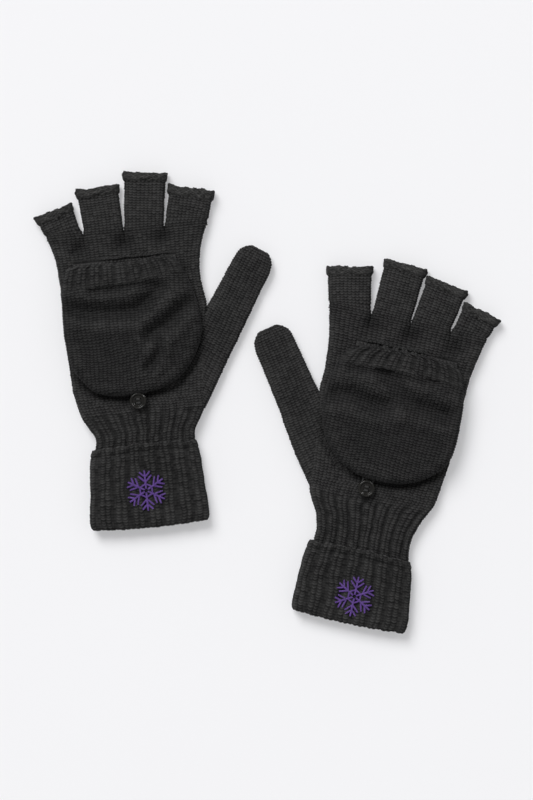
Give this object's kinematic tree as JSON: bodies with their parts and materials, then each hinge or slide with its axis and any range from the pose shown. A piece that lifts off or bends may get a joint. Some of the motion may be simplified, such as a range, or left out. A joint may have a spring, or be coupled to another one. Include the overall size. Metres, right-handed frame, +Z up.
{
  "type": "convertible mittens",
  "caption": "Pair of knitted convertible mittens: fingerless gloves with full thumbs, flip-over caps buttoned back on looped cords, and turned-up ribbed cuffs.",
  "frame": {"origin": "middle of the pair, on the table it lies on", "axes": "+X to the right across the pair, +Y towards the fingertips, +Z up from the table, away from the palms"},
  "size_m": [0.311, 0.3074, 0.0183],
  "materials": {
    "stockinette": "near-black charcoal stockinette knit, matte, wales about 2.4 mm apart",
    "rib": "near-black charcoal two-by-two rib, matte, ribs about 6.8 mm apart",
    "rolled_edge": "near-black charcoal rolled and linked knit edge, matte",
    "button_gloss": "black moulded button, polished",
    "sewing_thread": "black spun sewing thread",
    "elastic_cord": "black covered elastic cord",
    "embroidery": "purple embroidery thread, soft sheen"
  },
  "bodies": {
    "left_index": {"left_index_tube": "stockinette", "left_index_hem": "rolled_edge"},
    "left_middle": {"left_middle_tube": "stockinette", "left_middle_hem": "rolled_edge"},
    "left_ring": {"left_ring_tube": "stockinette", "left_ring_hem": "rolled_edge"},
    "left_little": {"left_little_tube": "stockinette", "left_little_hem": "rolled_edge"},
    "left_thumb": {"left_thumb_tube": "stockinette"},
    "left_cap": {"left_cap_pouch": "stockinette", "left_cap_hem": "rib", "left_loop_tack": "sewing_thread", "left_loop": "elastic_cord"},
    "left_hand": {"left_hand_shell": "stockinette", "left_wrist_rib": "rib", "left_cuff_turn": "rib", "left_cap_seam": "rolled_edge", "left_button": "button_gloss", "left_button_thread": "sewing_thread", "left_emblem": "embroidery"},
    "right_index": {"right_index_tube": "stockinette", "right_index_hem": "rolled_edge"},
    "right_middle": {"right_middle_tube": "stockinette", "right_middle_hem": "rolled_edge"},
    "right_ring": {"right_ring_tube": "stockinette", "right_ring_hem": "rolled_edge"},
    "right_little": {"right_little_tube": "stockinette", "right_little_hem": "rolled_edge"},
    "right_thumb": {"right_thumb_tube": "stockinette"},
    "right_cap": {"right_cap_pouch": "stockinette", "right_cap_hem": "rib", "right_loop_tack": "sewing_thread", "right_loop": "elastic_cord"},
    "right_hand": {"right_hand_shell": "stockinette", "right_wrist_rib": "rib", "right_cuff_turn": "rib", "right_cap_seam": "rolled_edge", "right_button": "button_gloss", "right_button_thread": "sewing_thread", "right_emblem": "embroidery"}
  },
  "joints": [
    {"name": "left_index_splay", "type": "hinge", "parent": "left_hand", "child": "left_index", "pos_m": [-0.05434, 0.11875, 0.0044], "axis": [0, 0, -1], "range_deg": [-3, 10]},
    {"name": "left_middle_splay", "type": "hinge", "parent": "left_hand", "child": "left_middle", "pos_m": [-0.0826, 0.11588, 0.0044], "axis": [0, 0, -1], "range_deg": [-5, 3]},
    {"name": "left_ring_splay", "type": "hinge", "parent": "left_hand", "child": "left_ring", "pos_m": [-0.10926, 0.11318, 0.0044], "axis": [0, 0, -1], "range_deg": [-6, 5]},
    {"name": "left_little_splay", "type": "hinge", "parent": "left_hand", "child": "left_little", "pos_m": [-0.13582, 0.11048, 0.0044], "axis": [0, 0, -1], "range_deg": [-8, 8]},
    {"name": "left_thumb_swing", "type": "hinge", "parent": "left_hand", "child": "left_thumb", "pos_m": [-0.03214, 0.04964, 0.0044], "axis": [0, 0, -1], "range_deg": [-8, 7]},
    {"name": "left_cap_flip", "type": "hinge", "parent": "left_hand", "child": "left_cap", "pos_m": [-0.09441, 0.09368, 0.0146], "axis": [-0.9949, -0.1011, 0], "range_deg": [0, 180], "deforming": ["left_loop"]},
    {"name": "right_index_splay", "type": "hinge", "parent": "right_hand", "child": "right_index", "pos_m": [0.05504, 0.06173, 0.0044], "axis": [0, 0, 1], "range_deg": [-8, 10]},
    {"name": "right_middle_splay", "type": "hinge", "parent": "right_hand", "child": "right_middle", "pos_m": [0.08276, 0.05558, 0.0044], "axis": [0, 0, 1], "range_deg": [0, 8]},
    {"name": "right_ring_splay", "type": "hinge", "parent": "right_hand", "child": "right_ring", "pos_m": [0.10893, 0.04978, 0.0044], "axis": [0, 0, 1], "range_deg": [-2, 0.5]},
    {"name": "right_little_splay", "type": "hinge", "parent": "right_hand", "child": "right_little", "pos_m": [0.135, 0.044, 0.0044], "axis": [0, 0, 1], "range_deg": [-8, 2.5]},
    {"name": "right_thumb_swing", "type": "hinge", "parent": "right_hand", "child": "right_thumb", "pos_m": [0.02493, -0.00432, 0.0044], "axis": [0, 0, 1], "range_deg": [-8, 7]},
    {"name": "right_cap_flip", "type": "hinge", "parent": "right_hand", "child": "right_cap", "pos_m": [0.09191, 0.03215, 0.0146], "axis": [-0.9763, 0.2164, 0], "range_deg": [0, 180], "deforming": ["right_loop"]},
    {"name": "pair_spacing", "type": "slide", "parent": "left_hand", "child": "right_hand", "axis": [1, 0, 0], "range_m": [0, 0.1]}
  ]
}
